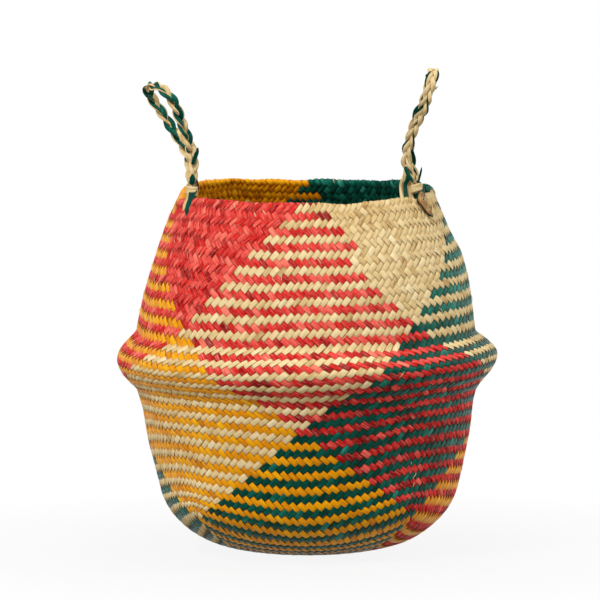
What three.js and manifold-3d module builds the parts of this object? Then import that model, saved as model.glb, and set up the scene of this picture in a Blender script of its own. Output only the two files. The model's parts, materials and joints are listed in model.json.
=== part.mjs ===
// A woven sedge-strip storage basket with a folded belly and two plaited loop handles.
// Millimetres, +Z up, front towards -Y. The origin is on the floor under the middle of the base.
import * as THREE from "three";
import { mergeVertices } from "three/addons/utils/BufferGeometryUtils.js";
import Module from "manifold-3d";

const manifold = await Module();
manifold.setup();

// Gap kept between two pieces that touch, and along the outline where the weave is split
const gap = 0.3;
const seam = 0.5;

// Woven wall: two layers of flat strip, whose outer face has a shallow groove round it in every band
// of the twill, where the strips dive under one another
const wallThickness = 2.6;
const grooveDepth = 0.9;

// Bands of the twill, counted up the wall, each about 13 high
const wallBands = 7;
const flareBands = 3;
const shoulderBands = 2;
const upperBands = 6;
const hemBands = 3;

// Facets: round the basket, and along its plain parts
const roundSteps = 48;
const matSteps = 6;
const turnSteps = 5;
const rimSteps = 7;

// Base: a square mat woven first, whose corners end just below the foot of the lower wall
// and stay as four soft bulges
const flatRadius = 38;
const baseRound = 48;
const matCornerRoom = 6.8;
const matTurn = THREE.MathUtils.degToRad(-3);
const cornerSwell = 6;
const cornerSwellTop = 88;

// Lower wall
const footRadius = 123.5;
const footHeight = 52;
const footRound = 27;
const neckRadius = 143.2;
const neckHeight = 136.7;

// Belly fold: the wall is folded out into a ridge and back in to a crease
const ridgeRadius = 160;
const ridgeHeight = 164.6;
const ridgeTilt = 2.5;
const creaseRadius = 143.5;
const creaseHeight = 185;
const creaseShift = 2;
// How full the fold's curves are: at the ridge, and where they leave the neck and the crease,
// as shares of the fold's depth and height
const ridgeFullness = 0.36;
const neckTurn = [0.2, 0.28];
const creaseTurn = [0.44, 0.3];

// Upper wall, hem and rim
const rimRadius = 109;
const wallTop = 298.7;
const upperSwell = 5;
const hemDepth = 35;
const hemThickness = 2.4;
const rimRise = 5.2;
const rimProud = 0.6;

// Handles: a three-strand plait, bent to a loop on a stem of its own two legs
const leftLoopTop = 86.5;
const rightLoopTop = 99;
const strandWidth = 3;
const strandThickness = 2.65;
const plaitSway = 3.15;
const plaitLift = 2.25;
const plaitPitch = 36;
const strandSides = 6;
const stepsPerPitch = 12;
const legGap = 0.6;
const legSpread = 1;
const stemHeight = 30;
const loopHalfWidth = 17;
// The drop shape of the loop's side above the stem: shares of its half width and of its height
const loopShape = [[0.52, 0.28], [0.86, 0.58], [1, 0.8], [0.72, 0.95]];

// Binding: a wrap round the foot of the stem, rounded about the swing axis where it rolls on the rim
const wrapThickness = 1;
const wrapHeight = 6.5;
const wrapClearance = 0.4;
const strandEndDepth = 1;

// Tails: the plait's loose ends, laid down each face of the rim and tucked into the weave
const tailWidth = 10;
const tailThickness = 3.4;
const tailLength = 18;
const tailTipWidth = 4;
const tailDrop = 3.6;
const tailClearance = 0.45;

// Each handle: its azimuth from the front, how far its loop turns out of the rim's line,
// and its spine from the swing axis up, as points (outwards, up) in shares of its height
const handles = [
  {
    name: "left",
    azimuth: THREE.MathUtils.degToRad(-67.5),
    turn: THREE.MathUtils.degToRad(9),
    height: leftLoopTop,
    spine: [
      [0, 0], [-0.017, 0.164], [0.023, 0.363], [0.154, 0.62], [0.292, 0.866], [0.39, 1],
    ],
    strands: ["natural", "green", "green"],
  },
  {
    name: "right",
    azimuth: THREE.MathUtils.degToRad(60.5),
    turn: THREE.MathUtils.degToRad(29),
    height: rightLoopTop,
    spine: [
      [0, 0], [-0.08, 0.184], [-0.091, 0.316], [-0.046, 0.49], [0.061, 0.714], [0.127, 0.918],
      [0.147, 1],
    ],
    strands: ["natural", "natural", "green"],
  },
];

const colours = {
  natural: "#d9bd85",
  red: "#c9483b",
  yellow: "#d09a2c",
  green: "#0f6a4d",
};

// Sizes that follow from the ones above
const rimHalfWidth = (wallThickness + gap + hemThickness) / 2 + rimProud;
const plaitHalfWidth = plaitSway + strandWidth / 2;
const plaitHalfThickness = plaitLift + strandThickness / 2;
const legOffset = plaitHalfThickness + legGap / 2;
const wrapHalfDepth = plaitHalfWidth + wrapClearance + wrapThickness;
const wrapHalfLength = legOffset + plaitHalfThickness + wrapClearance + wrapThickness;

function stripMaterial(colour) {
  return new THREE.MeshStandardMaterial({ color: colours[colour], roughness: 0.7, metalness: 0 });
}

function sizedDirection(from, to, length) {
  return to.clone().sub(from).setLength(length);
}

// The outline of the base and lower wall, without the corner bulges
function lowerPath() {
  const foot = new THREE.Vector2(footRadius, footHeight);
  const neck = new THREE.Vector2(neckRadius, neckHeight);
  const flatEdge = new THREE.Vector2(flatRadius, 0);
  const path = new THREE.CurvePath();
  path.add(new THREE.LineCurve(new THREE.Vector2(0, 0), flatEdge));
  path.add(new THREE.CubicBezierCurve(
    flatEdge,
    new THREE.Vector2(flatRadius + baseRound, 0),
    foot.clone().sub(sizedDirection(foot, neck, footRound)),
    foot,
  ));
  path.add(new THREE.LineCurve(foot, neck));
  return path;
}

// 0 at the middle of the mat's sides, 1 at its corners
function cornerness(azimuth) {
  return ((1 - Math.cos(4 * (azimuth - matTurn))) / 2) ** 2;
}

function swollen(point, azimuth) {
  if (point.y < cornerSwellTop) {
    const rise = Math.sin((Math.PI * point.y) / cornerSwellTop) ** 2;
    point.x += cornerSwell * cornerness(azimuth) * rise;
  }
  return point;
}

// The distance along the outline to the mat's edge, which runs out to a corner every quarter turn
function matEdgeDistance(azimuth, footDistance) {
  const quarter = Math.PI / 2;
  const turned = azimuth - matTurn;
  const fromSide = turned - quarter * Math.round(turned / quarter);
  const halfSide = (footDistance - matCornerRoom) * Math.cos(quarter / 2);
  return halfSide / Math.cos(fromSide);
}

function foldCurves(azimuth) {
  const side = Math.sin(azimuth);
  const neck = new THREE.Vector2(neckRadius, neckHeight);
  const ridge = new THREE.Vector2(ridgeRadius, ridgeHeight + ridgeTilt * side);
  const crease = new THREE.Vector2(creaseRadius - creaseShift * side, creaseHeight);
  const below = ridge.y - neck.y;
  const above = crease.y - ridge.y;
  const flare = new THREE.CubicBezierCurve(
    neck,
    new THREE.Vector2(neck.x + neckTurn[0] * (ridge.x - neck.x), neck.y + neckTurn[1] * below),
    new THREE.Vector2(ridge.x, ridge.y - ridgeFullness * below),
    ridge,
  );
  const shoulder = new THREE.CubicBezierCurve(
    ridge,
    new THREE.Vector2(ridge.x, ridge.y + ridgeFullness * above),
    new THREE.Vector2(crease.x + creaseTurn[0] * (ridge.x - crease.x), crease.y - creaseTurn[1] * above),
    crease,
  );
  return { flare, shoulder, crease };
}

function upperCurve(crease) {
  const top = new THREE.Vector2(rimRadius, wallTop);
  const along = sizedDirection(crease, top, 1);
  const middle = crease.clone().add(top).multiplyScalar(0.5);
  middle.x += 2 * upperSwell * along.y;
  middle.y -= 2 * upperSwell * along.x;
  return new THREE.QuadraticBezierCurve(crease, middle, top);
}

// The share of the upper curve below the hem
function hemStart(curve) {
  return 1 - hemDepth / curve.getLength();
}

// The whole outline at one azimuth, and where it is split between the woven pieces
function outlineAt(azimuth) {
  const { lerp } = THREE.MathUtils;
  const path = lowerPath();
  const [flatDistance, footDistance, neckDistance] = path.getCurveLengths();
  const edgeDistance = matEdgeDistance(azimuth, footDistance);
  const points = [new THREE.Vector2(0, 0), new THREE.Vector2(flatRadius, 0)];
  const climb = (from, to, steps) => {
    for (let i = 1; i <= steps; i++) {
      const distance = lerp(from, to, i / steps);
      points.push(swollen(path.getPoint(distance / neckDistance), azimuth));
    }
    return points.length - 1;
  };
  const matEdge = climb(flatDistance, edgeDistance, matSteps);
  const foot = climb(edgeDistance, footDistance, turnSteps);
  const neck = climb(footDistance, neckDistance, 2 * wallBands);
  const curves = foldCurves(azimuth);
  points.push(...curves.flare.getSpacedPoints(2 * flareBands).slice(1));
  points.push(...curves.shoulder.getSpacedPoints(2 * shoulderBands).slice(1));
  const crease = points.length - 1;
  const upper = upperCurve(curves.crease);
  const share = hemStart(upper);
  for (let i = 1; i <= 2 * upperBands; i++) {
    points.push(upper.getPointAt((share * i) / (2 * upperBands)));
  }
  const hem = points.length - 1;
  for (let i = 1; i <= 2 * hemBands; i++) {
    points.push(upper.getPointAt(lerp(share, 1, i / (2 * hemBands))));
  }
  return { points, matEdge, foot, neck, crease, hem, top: points.length - 1 };
}

// The outline moved inwards, square to itself
function inset(points, depth) {
  return points.map((point, i) => {
    const before = points[Math.max(i - 1, 0)];
    const after = points[Math.min(i + 1, points.length - 1)];
    const along = sizedDirection(before, after, 1);
    const moved = new THREE.Vector2(point.x - along.y * depth, point.y + along.x * depth);
    if (point.x === 0) moved.x = 0;
    return moved;
  });
}

// From the foot of the wall up, every second point of the outline is the groove of a band
function isGroove(outline, i) {
  return i > outline.foot && (i - outline.foot) % 2 === 1;
}

function grooved(outline) {
  const deep = inset(outline.points, grooveDepth);
  return outline.points.map((point, i) => (isGroove(outline, i) ? deep[i] : point));
}

// The stretch of an outline between two of its points, with both ends drawn in by half the gap
function stretch(points, from, to) {
  const part = points.slice(from, to + 1).map((point) => point.clone());
  const last = part.length - 1;
  if (from > 0) part[0].add(sizedDirection(part[0], part[1], seam / 2));
  part[last].add(sizedDirection(part[last], part[last - 1], seam / 2));
  return part;
}

// One azimuth's closed section of a woven piece: up its outer face and back down its plain inner face
function wallSection(azimuth, from, to) {
  const outline = outlineAt(azimuth);
  const start = from ? outline[from] : 0;
  const outer = stretch(grooved(outline), start, outline[to]);
  const inner = stretch(inset(outline.points, wallThickness), start, outline[to])
    .filter((point, i) => !isGroove(outline, start + i));
  return [...outer, ...inner.reverse()];
}

// A closed body of revolution whose section is worked out for each azimuth
function ringGeometry(sectionAt) {
  const sections = [];
  for (let j = 0; j < roundSteps; j++) {
    const azimuth = matTurn + (2 * Math.PI * j) / roundSteps;
    const across = new THREE.Vector2(Math.sin(azimuth), -Math.cos(azimuth));
    sections.push(sectionAt(azimuth).map(
      (point) => new THREE.Vector3(point.x * across.x, point.x * across.y, point.y),
    ));
  }
  const onAxis = (point) => point.x === 0 && point.y === 0;
  const positions = [];
  const triangle = (a, b, c) => {
    for (const point of [a, b, c]) positions.push(point.x, point.y, point.z);
  };
  const count = sections[0].length;
  for (let j = 0; j < roundSteps; j++) {
    const here = sections[j];
    const next = sections[(j + 1) % roundSteps];
    for (let i = 0; i < count; i++) {
      const k = (i + 1) % count;
      if (!onAxis(here[i])) triangle(here[i], next[i], next[k]);
      if (!onAxis(here[k])) triangle(here[i], next[k], here[k]);
    }
  }
  const geometry = new THREE.BufferGeometry();
  geometry.setAttribute("position", new THREE.Float32BufferAttribute(positions, 3));
  return mergeVertices(geometry, 1e-4);
}

function namedMesh(name, geometry, colour) {
  geometry.computeVertexNormals();
  const mesh = new THREE.Mesh(geometry, stripMaterial(colour));
  mesh.name = name;
  return mesh;
}

function baseMat() {
  return namedMesh("base_mat", ringGeometry((a) => wallSection(a, null, "matEdge")), "green");
}

// Where the mat's strips turn up and close into a round wall
function wallTurn() {
  return namedMesh("wall_turn", ringGeometry((a) => wallSection(a, "matEdge", "foot")), "yellow");
}

function lowerWall() {
  return namedMesh("lower_wall", ringGeometry((a) => wallSection(a, "foot", "neck")), "natural");
}

function bellyFold() {
  return namedMesh("belly_fold", ringGeometry((a) => wallSection(a, "neck", "crease")), "yellow");
}

function upperWall() {
  return namedMesh("upper_wall", ringGeometry((a) => wallSection(a, "crease", "hem")), "red");
}

// The top of the wall, which the hem backs
function rimBand() {
  return namedMesh("rim_band", ringGeometry((a) => wallSection(a, "hem", "top")), "natural");
}

// The strips' ends, turned in over the rim and lying against the inside of the wall
function innerHem() {
  const depth = wallThickness + gap;
  const section = (azimuth) => {
    const { crease } = foldCurves(azimuth);
    const curve = upperCurve(crease);
    const share = hemStart(curve);
    const strip = [];
    for (let i = 0; i <= hemBands; i++) {
      strip.push(curve.getPointAt(THREE.MathUtils.lerp(share, 1, i / hemBands)));
    }
    const outer = stretch(inset(strip, depth), 0, strip.length - 1);
    const inner = stretch(inset(strip, depth + hemThickness), 0, strip.length - 1);
    return [...outer, ...inner.reverse()];
  };
  return namedMesh("inner_hem", ringGeometry(section), "yellow");
}

// The frame of the wall's top edge: its end point, the direction up the wall and the one out of it
function wallTopFrame(azimuth) {
  const curve = upperCurve(foldCurves(azimuth).crease);
  const up = curve.getTangent(1);
  return { end: curve.getPoint(1), up, out: new THREE.Vector2(up.y, -up.x) };
}

// The point at the rim's own section: along its width and its height
function rimPoint(azimuth, across, rise) {
  const { end, up, out } = wallTopFrame(azimuth);
  const middle = rimHalfWidth - rimProud;
  return end.addScaledVector(out, across - middle).addScaledVector(up, rise + seam / 2);
}

// The fold that closes wall and hem: a half-round cap over both
function rimEdge() {
  const section = (azimuth) => {
    const points = [];
    for (let i = 0; i <= rimSteps; i++) {
      const turn = (Math.PI * i) / rimSteps;
      points.push(rimPoint(azimuth, rimHalfWidth * Math.cos(turn), rimRise * Math.sin(turn)));
    }
    return points;
  };
  return namedMesh("rim_edge", ringGeometry(section), "red");
}

// The highest point of the rim's section
function rimCrest(azimuth) {
  const { up } = wallTopFrame(azimuth);
  const turn = Math.atan2(rimRise * up.y, -rimHalfWidth * up.x);
  return rimPoint(azimuth, rimHalfWidth * Math.cos(turn), rimRise * Math.sin(turn));
}

// One leg of the loop as points (sideways, up), from the wrap to the top of the loop
function legPoints(loopTop) {
  const rise = loopTop - stemHeight;
  return [
    [legOffset, 0],
    [legOffset, stemHeight / 2],
    [legOffset + legSpread, stemHeight],
    ...loopShape.map(([side, up]) => [side * loopHalfWidth, stemHeight + up * rise]),
  ];
}

// The plait's middle line, and across it the loop's own side direction
class LoopLine extends THREE.Curve {
  constructor(handle) {
    super();
    const leg = legPoints(handle.height);
    const mirrored = leg.map(([side, up]) => [-side, up]).reverse();
    this.turn = handle.turn;
    this.top = handle.height;
    this.spine = new THREE.SplineCurve(
      handle.spine.map(([out, up]) => new THREE.Vector2(out, up).multiplyScalar(handle.height)),
    );
    this.plane = new THREE.SplineCurve(
      [...leg, [0, handle.height], ...mirrored].map(([side, up]) => new THREE.Vector2(side, up)),
    );
  }

  // How far the loop leans out at a height
  outAt(height) {
    let low = 0;
    let high = 1;
    for (let i = 0; i < 30; i++) {
      const middle = (low + high) / 2;
      if (this.spine.getPoint(middle).y < height) low = middle;
      else high = middle;
    }
    return this.spine.getPoint(low).x;
  }

  sideAt(height) {
    const turned = this.turn * THREE.MathUtils.smoothstep(height, wrapHeight, this.top / 2);
    return new THREE.Vector3(-Math.sin(turned), Math.cos(turned), 0);
  }

  getPoint(t) {
    const flat = this.plane.getPoint(t);
    const spinePoint = new THREE.Vector3(this.outAt(flat.y), 0, flat.y);
    return this.sideAt(flat.y).multiplyScalar(flat.x).add(spinePoint);
  }

  // Out of the loop's plane, square to the line
  faceAt(t) {
    const flat = this.plane.getPoint(t);
    const side = this.sideAt(flat.y);
    const step = 0.5;
    const lean = (this.outAt(flat.y + step) - this.outAt(flat.y - step)) / (2 * step);
    const up = new THREE.Vector3(lean, 0, 1).normalize();
    return side.clone().cross(up).normalize();
  }
}

// One strand of the plait: a closed tube that sways across the plait and passes over and under.
// Its rings stand where two strands cross and where one is at the plait's edge.
function strandGeometry(line, index) {
  const length = line.getLength();
  const turns = Math.round(length / plaitPitch);
  const steps = turns * stepsPerPitch;
  const rings = [];
  for (let i = 0; i <= steps; i++) {
    const u = i / steps;
    const t = line.getUtoTmapping(u);
    const phase = 2 * Math.PI * (turns * u + index / 3 + 1 / 12);
    const along = line.getTangent(t);
    const face = line.faceAt(t);
    face.addScaledVector(along, -face.dot(along)).normalize();
    const thick = along.clone().cross(face);
    const centre = line.getPoint(t)
      .addScaledVector(face, plaitSway * Math.sin(phase))
      .addScaledVector(thick, plaitLift * Math.sin(2 * phase));
    const ring = [];
    for (let k = 0; k < strandSides; k++) {
      const angle = (2 * Math.PI * k) / strandSides;
      ring.push(centre.clone()
        .addScaledVector(face, (strandWidth / 2) * Math.cos(angle))
        .addScaledVector(thick, (strandThickness / 2) * Math.sin(angle)));
    }
    rings.push(ring);
  }
  return tubeGeometry(rings);
}

function tubeGeometry(rings) {
  const sides = rings[0].length;
  const positions = rings.flat().flatMap((point) => point.toArray());
  const index = [];
  for (let i = 0; i + 1 < rings.length; i++) {
    for (let k = 0; k < sides; k++) {
      const next = (k + 1) % sides;
      const a = i * sides + k;
      const b = i * sides + next;
      index.push(a, b, b + sides, a, b + sides, a + sides);
    }
  }
  const lastRing = (rings.length - 1) * sides;
  for (let k = 1; k + 1 < sides; k++) {
    index.push(0, k + 1, k, lastRing, lastRing + k, lastRing + k + 1);
  }
  const geometry = new THREE.BufferGeometry();
  geometry.setAttribute("position", new THREE.Float32BufferAttribute(positions, 3));
  geometry.setIndex(index);
  return geometry;
}

function toSolid(geometry) {
  const bare = geometry.clone();
  bare.deleteAttribute("normal");
  bare.deleteAttribute("uv");
  const merged = mergeVertices(bare, 1e-4);
  return new manifold.Manifold(new manifold.Mesh({
    numProp: 3,
    vertProperties: merged.attributes.position.array,
    triVerts: new Uint32Array(merged.index.array),
  }));
}

function fromSolid(solid) {
  const mesh = solid.getMesh();
  const geometry = new THREE.BufferGeometry();
  geometry.setAttribute("position", new THREE.BufferAttribute(mesh.vertProperties, 3));
  geometry.setIndex(new THREE.BufferAttribute(mesh.triVerts, 1));
  return geometry;
}

// The wrap is a cup: its foot is a half cylinder about the swing axis, and the strands stand in it
function bindingGeometry() {
  const outline = new THREE.Shape();
  outline.moveTo(wrapHalfDepth, 0);
  outline.lineTo(wrapHalfDepth, wrapHeight);
  outline.lineTo(-wrapHalfDepth, wrapHeight);
  outline.lineTo(-wrapHalfDepth, 0);
  outline.absarc(0, 0, wrapHalfDepth, Math.PI, 2 * Math.PI, false);
  const body = new THREE.ExtrudeGeometry(outline, {
    depth: 2 * wrapHalfLength,
    bevelEnabled: false,
    curveSegments: 10,
  });
  body.translate(0, 0, -wrapHalfLength);
  body.rotateX(Math.PI / 2);
  const hollowDepth = wrapHeight + strandEndDepth;
  const hollow = new THREE.BoxGeometry(
    2 * (wrapHalfDepth - wrapThickness),
    2 * (wrapHalfLength - wrapThickness),
    2 * hollowDepth,
  );
  hollow.translate(0, 0, -strandEndDepth + hollowDepth);
  return fromSolid(toSolid(body).subtract(toSolid(hollow)));
}

// A flat bundle of strip ends, full width at the rim and narrow where it enters the weave
function tailGeometry() {
  const outline = new THREE.Shape();
  outline.moveTo(-tailWidth / 2, 0);
  outline.lineTo(-tailWidth / 2, -tailLength / 2);
  outline.lineTo(-tailTipWidth / 2, -tailLength);
  outline.lineTo(tailTipWidth / 2, -tailLength);
  outline.lineTo(tailWidth / 2, -tailLength / 2);
  outline.lineTo(tailWidth / 2, 0);
  return new THREE.ExtrudeGeometry(outline, { depth: tailThickness, bevelEnabled: false });
}

// A tail lies flat along the wall, on its outer face or, turned round, on the hem
function placeTail(mesh, azimuth, face) {
  const { up } = wallTopFrame(azimuth);
  const reach = rimHalfWidth + tailClearance;
  const crest = rimCrest(azimuth);
  const rise = (crest.y - tailDrop - rimPoint(azimuth, face * reach, 0).y) / up.y;
  const place = rimPoint(azimuth, face * reach, rise);
  const widthDirection = new THREE.Vector3(0, face, 0);
  const upDirection = new THREE.Vector3(0, 0, 1);
  const outDirection = new THREE.Vector3(face, 0, 0);
  mesh.quaternion.setFromRotationMatrix(
    new THREE.Matrix4().makeBasis(widthDirection, upDirection, outDirection),
  );
  const tilted = new THREE.Group();
  tilted.rotation.y = Math.atan2(up.x, up.y);
  tilted.position.set(place.x, 0, place.y);
  tilted.add(mesh);
  const turned = new THREE.Group();
  turned.rotation.z = azimuth - Math.PI / 2;
  turned.add(tilted);
  return turned;
}

function handleGroup(handle) {
  const group = new THREE.Group();
  const crest = rimCrest(handle.azimuth);
  const swing = new THREE.Group();
  swing.rotation.z = handle.azimuth - Math.PI / 2;
  swing.position.set(
    crest.x * Math.sin(handle.azimuth),
    -crest.x * Math.cos(handle.azimuth),
    crest.y + gap + wrapHalfDepth,
  );
  const line = new LoopLine(handle);
  handle.strands.forEach((colour, i) => {
    swing.add(namedMesh(`${handle.name}_strand_${i + 1}`, strandGeometry(line, i), colour));
  });
  const binding = namedMesh(`${handle.name}_binding`, bindingGeometry(), "natural");
  const start = line.spine.getTangent(0);
  binding.rotation.y = Math.atan2(start.x, start.y);
  swing.add(binding);
  group.add(swing);
  const outer = namedMesh(`${handle.name}_outer_tail`, tailGeometry(), "natural");
  const inner = namedMesh(`${handle.name}_inner_tail`, tailGeometry(), "green");
  group.add(placeTail(outer, handle.azimuth, 1), placeTail(inner, handle.azimuth, -1));
  return group;
}

const basket = new THREE.Group();
basket.add(baseMat(), wallTurn(), lowerWall(), bellyFold());
basket.add(upperWall(), rimBand(), innerHem(), rimEdge());
basket.add(...handles.map(handleGroup));

export default basket;
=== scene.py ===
import json
import math

import bpy
import numpy as np
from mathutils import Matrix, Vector


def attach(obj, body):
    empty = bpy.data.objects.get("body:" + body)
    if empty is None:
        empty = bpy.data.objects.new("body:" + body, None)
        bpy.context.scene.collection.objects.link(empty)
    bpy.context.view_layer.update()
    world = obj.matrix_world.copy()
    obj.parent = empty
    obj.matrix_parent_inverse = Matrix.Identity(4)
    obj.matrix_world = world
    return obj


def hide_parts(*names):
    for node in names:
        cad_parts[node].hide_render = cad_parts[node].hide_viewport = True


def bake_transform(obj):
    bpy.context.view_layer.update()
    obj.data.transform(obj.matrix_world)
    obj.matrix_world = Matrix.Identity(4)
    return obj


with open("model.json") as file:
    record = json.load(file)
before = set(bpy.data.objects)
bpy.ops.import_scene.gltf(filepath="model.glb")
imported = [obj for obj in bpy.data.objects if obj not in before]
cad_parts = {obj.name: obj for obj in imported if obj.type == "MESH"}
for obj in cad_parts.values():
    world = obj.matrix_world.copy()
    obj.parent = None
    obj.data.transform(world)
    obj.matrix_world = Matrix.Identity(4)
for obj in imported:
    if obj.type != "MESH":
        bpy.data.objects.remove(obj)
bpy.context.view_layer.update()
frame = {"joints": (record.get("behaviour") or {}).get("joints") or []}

# Lengths are in millimetres until a mesh is made, and azimuths in degrees from the front to the right.


def unit(v):
    return v / np.linalg.norm(v, axis=-1, keepdims=True)


def steps(n):
    return np.linspace(0, 1, n + 1)


def smoothstep(x, low, high):
    x = np.clip((x - low) / (high - low), 0, 1)
    return x * x * (3 - 2 * x)


def window(x, begins, full, ends, gone):
    """0 outside a stretch and 1 inside it, soft at both its ends."""
    return smoothstep(x, begins, full) * (1 - smoothstep(x, ends, gone))


def grown(low, x, begins, full):
    """A share that grows softly from low to 1."""
    return low + (1 - low) * smoothstep(x, begins, full)


def run_lengths(points):
    """Lengths along a path, from its first point to each of them."""
    return np.concatenate([[0], np.cumsum(np.linalg.norm(np.diff(points, axis=0), axis=1))])


def wrapped(az):
    return np.mod(az + 180, 360) - 180


# Outline of the basket, with the same sizes as the part
RIM_RADIUS = 109.0
WALL_TOP = 298.7
NECK = np.array([143.2, 136.7])
FOOT = np.array([123.5, 52.0])
FOOT_ROUND = 27
FLAT = 38
BASE_ROUND = 48
RIDGE_RADIUS = 160.0
RIDGE_HEIGHT = 164.6
RIDGE_TILT = 2.5
RIDGE_FULLNESS = 0.36
NECK_TURN = (0.2, 0.28)
CREASE_RADIUS = 143.5
CREASE_SHIFT = 2
CREASE_HEIGHT = 185.0
CREASE_TURN = (0.44, 0.3)
UPPER_SWELL = 5
MAT_TURN = -3.0
SWELL = 6
SWELL_TOP = 88
WALL = 2.6
# The rim's fold is a half ellipse over the middles of wall and hem.
FOLD_HALF_WIDTH = 1.4
FOLD_RISE = 3.7
RIM_TO_CREST = 4.6
FOLD_STEPS = 18
# Steps of each stretch: flat, round to the foot, lower wall, flare, shoulder and upper wall
OUTLINE_STEPS = (20, 130, 90, 60, 60, 160)
# Which of the outline's points are smoothed for the weave, and how often
SOFT_POINTS = np.arange(200, 480)
SOFT_ROUNDS = 10
HEM_POINTS = 54
AZ_STEP = 3


def curve(points, t):
    """A Bezier curve of two, three or four control points."""
    p = [np.asarray(q, float) for q in points]
    t = t[:, None]
    while len(p) > 1:
        p = [(1 - t) * a + t * b for a, b in zip(p, p[1:])]
    return p[0]


def outer_outline(az):
    side = math.sin(math.radians(az))
    ridge = np.array([RIDGE_RADIUS, RIDGE_HEIGHT + RIDGE_TILT * side])
    crease = np.array([CREASE_RADIUS - CREASE_SHIFT * side, CREASE_HEIGHT])
    below = ridge[1] - NECK[1]
    above = crease[1] - ridge[1]
    top = np.array([RIM_RADIUS, WALL_TOP])
    along = unit(top - crease)
    middle = (crease + top) / 2 + 2 * UPPER_SWELL * np.array([along[1], -along[0]])
    into_foot = FOOT - FOOT_ROUND * unit(NECK - FOOT)
    from_neck = NECK + [NECK_TURN[0] * (ridge[0] - NECK[0]), NECK_TURN[1] * below]
    to_crease = crease + [CREASE_TURN[0] * (ridge[0] - crease[0]), -CREASE_TURN[1] * above]
    stretches = [
        [(0, 0), (FLAT, 0)],
        [(FLAT, 0), (FLAT + BASE_ROUND, 0), into_foot, FOOT],
        [FOOT, NECK],
        [NECK, from_neck, ridge - [0, RIDGE_FULLNESS * below], ridge],
        [ridge, ridge + [0, RIDGE_FULLNESS * above], to_crease, crease],
        [crease, middle, top],
    ]
    curves = [curve(points, steps(n)) for points, n in zip(stretches, OUTLINE_STEPS)]
    p = np.concatenate([curves[0]] + [points[1:] for points in curves[1:]])
    corner = ((1 - math.cos(4 * math.radians(az - MAT_TURN))) / 2) ** 2
    low = p[:, 1] < SWELL_TOP
    p[low, 0] += SWELL * corner * np.sin(math.pi * p[low, 1] / SWELL_TOP) ** 2
    return p


def middle_outline(az):
    """Middle of the woven layers up the wall, over the rim and down the hem, and its outward directions."""
    p = outer_outline(az)
    for _ in range(SOFT_ROUNDS):
        p[SOFT_POINTS] = (p[SOFT_POINTS - 1] + 2 * p[SOFT_POINTS] + p[SOFT_POINTS + 1]) / 4
    t = unit(np.gradient(p, axis=0))
    n = np.stack([t[:, 1], -t[:, 0]], 1)
    up, out = t[-1], n[-1]
    turn = steps(FOLD_STEPS)[1:-1] * math.pi
    round_x = np.cos(turn)[:, None] * out
    round_y = np.sin(turn)[:, None] * up
    hem_depth = WALL / 2 + 2 * FOLD_HALF_WIDTH
    arc = p[-1] - (WALL / 2 + FOLD_HALF_WIDTH) * out + FOLD_HALF_WIDTH * round_x + FOLD_RISE * round_y
    arc_n = unit(round_x / FOLD_HALF_WIDTH + round_y / FOLD_RISE)
    hem = (p - hem_depth * n)[::-1][:HEM_POINTS]
    points = np.concatenate([p - WALL / 2 * n, arc, hem])
    return points, np.concatenate([n, arc_n, -n[::-1][:HEM_POINTS]])


grid = [middle_outline(a) for a in range(0, 360, AZ_STEP)]
MID = np.stack([g[0] for g in grid])
OUT = np.stack([g[1] for g in grid])
# Stations are lengths along the front's outer outline, and on over the rim.
front_run = run_lengths(outer_outline(0))
beyond = run_lengths(MID[0])[len(front_run):] - run_lengths(MID[0])[len(front_run) - 1]
STATION = np.concatenate([front_run, front_run[-1] + beyond])
CREST = front_run[-1] + RIM_TO_CREST


def on_wall(az, station):
    """Middle of the woven layers and its outward direction, for arrays of azimuths and stations."""
    a = np.mod(az, 360) / AZ_STEP
    a0 = np.floor(a).astype(int)
    fa = (a - a0)[..., None]
    a0, a1 = a0 % len(grid), (a0 + 1) % len(grid)
    m = np.interp(station, STATION, np.arange(len(STATION)))
    m0 = np.minimum(m.astype(int), len(STATION) - 2)
    fm = (m - m0)[..., None]

    def mixed(g):
        here = (1 - fm) * g[a0, m0] + fm * g[a0, m0 + 1]
        return (1 - fa) * here + fa * ((1 - fm) * g[a1, m0] + fm * g[a1, m0 + 1])

    p, n = mixed(MID), unit(mixed(OUT))
    s, c = np.sin(np.radians(az)), np.cos(np.radians(az))
    place = np.stack([p[..., 0] * s, -p[..., 0] * c, p[..., 1]], -1)
    return place, np.stack([n[..., 0] * s, -n[..., 0] * c, n[..., 1]], -1)


# Lattice of the twill: a row is half a strip's diagonal, and each side of the mat is 64 half steps long.
# Rows count up from the mat's edge to the rim and on down the hem.
SIDE = 64
HALF_SIDE = SIDE // 2
COLOUR_OF_SIDE = ["green", "yellow", "red", "natural"]
STEP_DEG = 360 / (SIDE * len(COLOUR_OF_SIDE))
TOP_ROW = 96
END_ROW = 107
# Where rows lie along the outline in the photograph, up to the rim's crest, and evenly beyond it
BEYOND_ROWS = 30
BEYOND_SPACING = 3.25
ROWS = [0, 6.5, 14.5, 34.5, 50.5, 58.5, 76.5, 94.5, TOP_ROW, TOP_ROW + BEYOND_ROWS]
ROW_STATIONS = [98, 122.6, 149.7, 215.7, 264.6, 291.1, 350.2, 410.3, CREST]
ROW_STATIONS += [CREST + BEYOND_ROWS * BEYOND_SPACING]
# Where the mat's edge lies along the outline, at the middles of its sides and at its corners
EDGE_MIDDLE = 98.0
EDGE_CORNER = 127.0
# Rows that follow the mat's corners sharply, then softly, and rows over which steps become even round it
SHARP_ROWS = 12
SOFT_ROWS = 17
SPREAD_ROWS = 34

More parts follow.
